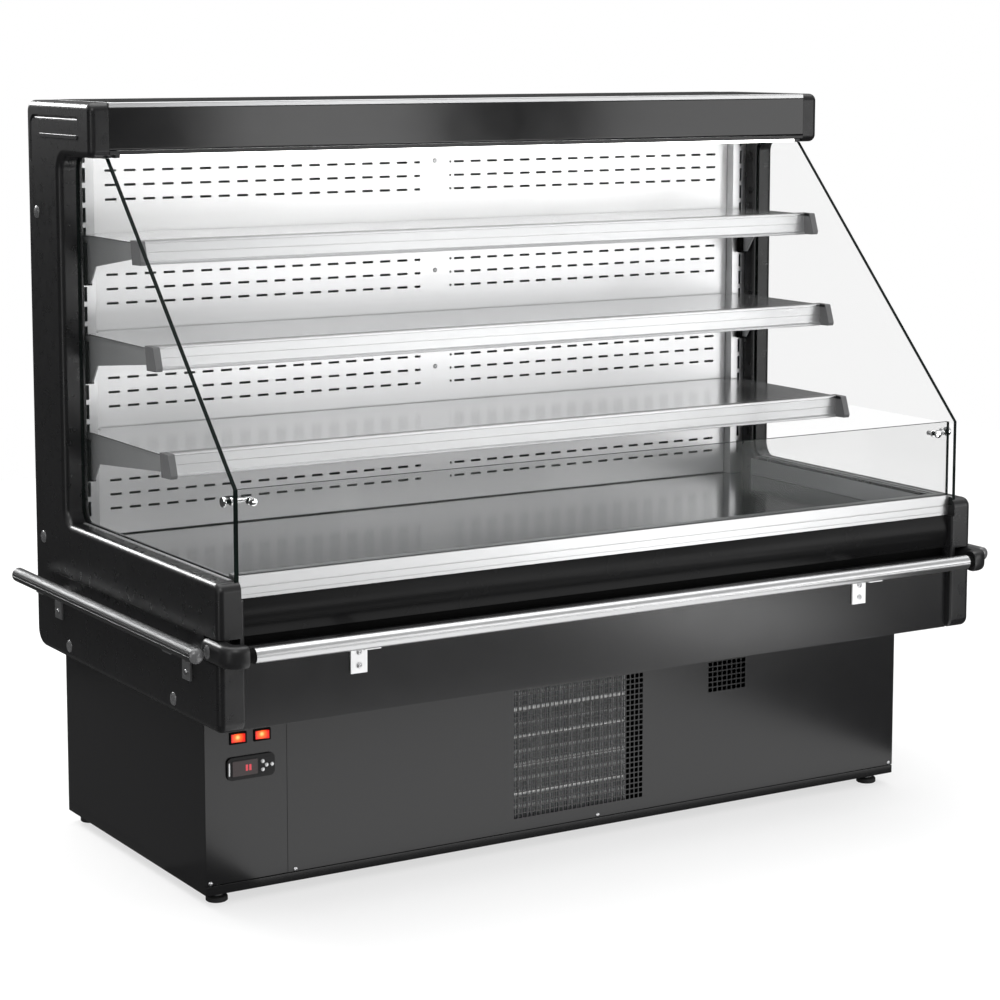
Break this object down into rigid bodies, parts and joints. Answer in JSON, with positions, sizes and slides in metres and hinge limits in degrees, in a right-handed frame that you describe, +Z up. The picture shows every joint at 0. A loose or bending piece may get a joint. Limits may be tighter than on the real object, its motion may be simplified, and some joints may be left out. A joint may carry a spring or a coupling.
{
  "type": "open multideck display fridge",
  "caption": "Low open multideck display fridge on a plinth: black moulded ends, sloping glass sides, tipping shelves with price rails, bumper rails and a built-in condensing unit.",
  "frame": {"origin": "on the floor, under the middle of the whole outline, bumpers included", "axes": "+Z up, -Y towards the shopper (front), +X to the right seen from the front"},
  "size_m": [1.412, 0.702, 1.133],
  "materials": {
    "moulded_black": "fine leather grain, satin",
    "black_paint": "powder coat, semi-gloss",
    "dark_paint": "powder coat, satin",
    "foamed_panel": "coated sheet over foam",
    "stainless": "brushed",
    "aluminium": "anodised, satin",
    "coil_fins": "bare fins",
    "chrome": "polished",
    "clear_glass": "polished edges",
    "rubber": "matt",
    "lit_orange": "translucent, lit",
    "black_plastic": "satin",
    "silver_key": "satin",
    "diffuser": "opal"
  },
  "bodies": {
    "cabinet": {"end_panel_left": "moulded_black", "back_panel_left": "stainless", "upright_left": "stainless", "side_glass_left": "clear_glass", "glass_stud_left": "chrome", "bumper_corner_left": "black_plastic", "side_bumper_left": "dark_paint", "end_panel_right": "moulded_black", "back_panel_right": "stainless", "upright_right": "stainless", "side_glass_right": "clear_glass", "glass_stud_right": "chrome", "bumper_corner_right": "black_plastic", "side_bumper_right": "dark_paint", "insulated_body": "foamed_panel", "roof_panel": "dark_paint", "canopy_fascia": "black_paint", "canopy_trim": "aluminium", "air_outlet_grille": "black_plastic", "canopy_lamp": "diffuser", "deck_pan": "stainless", "front_glass": "clear_glass", "deck_front_profile": "aluminium", "front_upper_panel": "black_paint", "front_lower_panel": "black_paint", "front_bumper": "aluminium", "plinth_tray": "black_paint", "plinth_casing": "black_paint", "grille_panel": "black_paint", "control_panel": "black_paint", "controller": "black_plastic", "condenser_coil": "coil_fins", "condenser_fan_shroud": "black_paint", "compressor": "black_paint", "evaporator_coil": "coil_fins", "evaporator_fan_plate": "stainless"},
    "shelf_set_upper": {"shelf_upper": "stainless", "price_rail_upper": "aluminium", "bracket_upper_left": "stainless", "bracket_upper_right": "stainless"},
    "shelf_set_middle": {"shelf_middle": "stainless", "price_rail_middle": "aluminium", "bracket_middle_left": "stainless", "bracket_middle_right": "stainless"},
    "shelf_set_lower": {"shelf_lower": "stainless", "price_rail_lower": "aluminium", "bracket_lower_left": "stainless", "bracket_lower_right": "stainless"},
    "light_switch": {"light_rocker": "lit_orange"},
    "defrost_switch": {"defrost_rocker": "lit_orange"},
    "key_up_body": {"key_up": "silver_key"},
    "key_down_body": {"key_down": "silver_key"},
    "key_set_body": {"key_set": "silver_key"},
    "key_power_body": {"key_power": "silver_key"},
    "condenser_rotor": {"condenser_fan": "black_plastic"},
    "evaporator_rotor": {"evaporator_fan": "black_plastic"},
    "levelling_foot_front_left": {"foot_front_left": "rubber"},
    "levelling_foot_front_right": {"foot_front_right": "rubber"},
    "levelling_foot_rear_left": {"foot_rear_left": "rubber"},
    "levelling_foot_rear_right": {"foot_rear_right": "rubber"}
  },
  "joints": [
    {"name": "tip_shelf_upper", "type": "hinge", "parent": "cabinet", "child": "shelf_set_upper", "pos_m": [0, 0.253, 0.92], "axis": [-1, 0, 0], "range_deg": [0, 12]},
    {"name": "tip_shelf_middle", "type": "hinge", "parent": "cabinet", "child": "shelf_set_middle", "pos_m": [0, 0.253, 0.77], "axis": [-1, 0, 0], "range_deg": [0, 12]},
    {"name": "tip_shelf_lower", "type": "hinge", "parent": "cabinet", "child": "shelf_set_lower", "pos_m": [0, 0.253, 0.62], "axis": [-1, 0, 0], "range_deg": [0, 12]},
    {"name": "light_switch_rock", "type": "hinge", "parent": "cabinet", "child": "light_switch", "pos_m": [-0.5725, -0.171, 0.242], "axis": [0, 0, 1], "range_deg": [0, 14]},
    {"name": "defrost_switch_rock", "type": "hinge", "parent": "cabinet", "child": "defrost_switch", "pos_m": [-0.5345, -0.171, 0.242], "axis": [0, 0, 1], "range_deg": [0, 14]},
    {"name": "press_key_up", "type": "slide", "parent": "cabinet", "child": "key_up_body", "axis": [0, 1, 0], "range_m": [0, 0.0008], "stiffness_N_per_m": 300},
    {"name": "press_key_down", "type": "slide", "parent": "cabinet", "child": "key_down_body", "axis": [0, 1, 0], "range_m": [0, 0.0008], "stiffness_N_per_m": 300},
    {"name": "press_key_set", "type": "slide", "parent": "cabinet", "child": "key_set_body", "axis": [0, 1, 0], "range_m": [0, 0.0008], "stiffness_N_per_m": 300},
    {"name": "press_key_power", "type": "slide", "parent": "cabinet", "child": "key_power_body", "axis": [0, 1, 0], "range_m": [0, 0.0008], "stiffness_N_per_m": 300},
    {"name": "condenser_fan_spin", "type": "hinge", "parent": "cabinet", "child": "condenser_rotor", "pos_m": [-0.012, -0.08095, 0.15], "axis": [0, 1, 0], "continuous": true},
    {"name": "evaporator_fan_spin", "type": "hinge", "parent": "cabinet", "child": "evaporator_rotor", "pos_m": [0, -0.01725, 0.39575], "axis": [0, 1, 0], "continuous": true},
    {"name": "turn_foot_front_left", "type": "hinge", "parent": "cabinet", "child": "levelling_foot_front_left", "pos_m": [-0.5945, -0.142, 0], "axis": [0, 0, 1], "continuous": true},
    {"name": "turn_foot_front_right", "type": "hinge", "parent": "cabinet", "child": "levelling_foot_front_right", "pos_m": [0.5945, -0.142, 0], "axis": [0, 0, 1], "continuous": true},
    {"name": "turn_foot_rear_left", "type": "hinge", "parent": "cabinet", "child": "levelling_foot_rear_left", "pos_m": [-0.5945, 0.319, 0], "axis": [0, 0, 1], "continuous": true},
    {"name": "turn_foot_rear_right", "type": "hinge", "parent": "cabinet", "child": "levelling_foot_rear_right", "pos_m": [0.5945, 0.319, 0], "axis": [0, 0, 1], "continuous": true}
  ]
}
